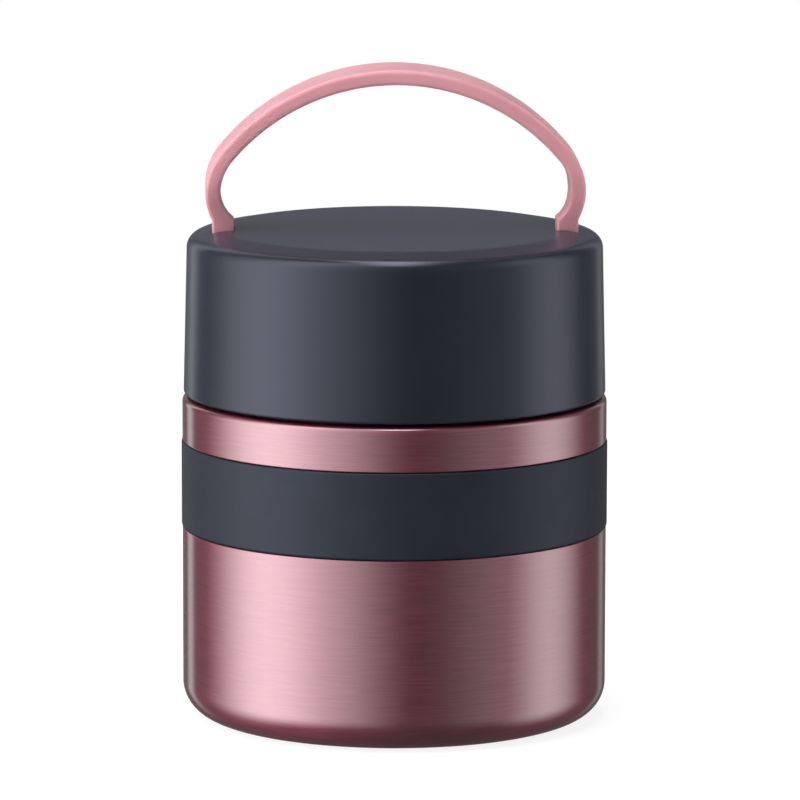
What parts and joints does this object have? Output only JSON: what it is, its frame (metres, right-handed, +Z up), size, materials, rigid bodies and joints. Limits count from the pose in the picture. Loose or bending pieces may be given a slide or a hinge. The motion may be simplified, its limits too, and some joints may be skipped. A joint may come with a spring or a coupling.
{
  "type": "insulated food jar",
  "caption": "Short double-walled steel food jar with a silicone grip band and a screw lid carried by a soft arched strap.",
  "frame": {"origin": "centre of the rest ring under the jar, on the surface it stands on", "axes": "+Z up along the jar's axis, +X along the strap's arch, +Y across the strap"},
  "size_m": [0.0924, 0.0924, 0.1415],
  "materials": {
    "shell_steel": "brushed around the axis under a tinted dusty rose satin lacquer",
    "bare_steel": "plain satin stainless steel of the liner and the base cover",
    "copper_foil": "thin bright copper foil in the vacuum",
    "seal_glass": "greenish sealing glass",
    "getter_metal": "dark sintered pill",
    "band_silicone": "matt blue-grey silicone",
    "gasket_silicone": "milky food-grade silicone",
    "lid_plastic": "satin blue-grey polypropylene",
    "inner_plastic": "plain moulded polypropylene",
    "foam": "white expanded foam",
    "strap_soft": "satin dusty pink soft plastic"
  },
  "bodies": {
    "jar": {"shell_tube": "shell_steel", "shell_neck": "shell_steel", "base_cup": "shell_steel", "base_cover": "bare_steel", "vacuum_seal": "seal_glass", "getter": "getter_metal", "liner_cup": "bare_steel", "liner_neck": "bare_steel", "radiation_foil": "copper_foil", "grip_band": "band_silicone"},
    "lid_seal": {"mouth_gasket": "gasket_silicone"},
    "lid": {"lid_cap": "lid_plastic", "lid_inner_cap": "inner_plastic", "lid_insulation": "foam", "handle_strap": "strap_soft", "strap_pin_left": "bare_steel", "strap_pin_right": "bare_steel"}
  },
  "joints": [
    {"name": "lid_rise", "type": "slide", "parent": "jar", "child": "lid_seal", "axis": [0, 0, 1], "range_m": [0, 0.027]},
    {"name": "lid_turn", "type": "hinge", "parent": "lid_seal", "child": "lid", "pos_m": [0, 0, 0.08], "axis": [0, 0, 1], "range_deg": [-2, 812]}
  ],
  "couplings": [
    {"joint": "lid_turn", "follows": "lid_rise", "rad_per_m": 523.6}
  ]
}
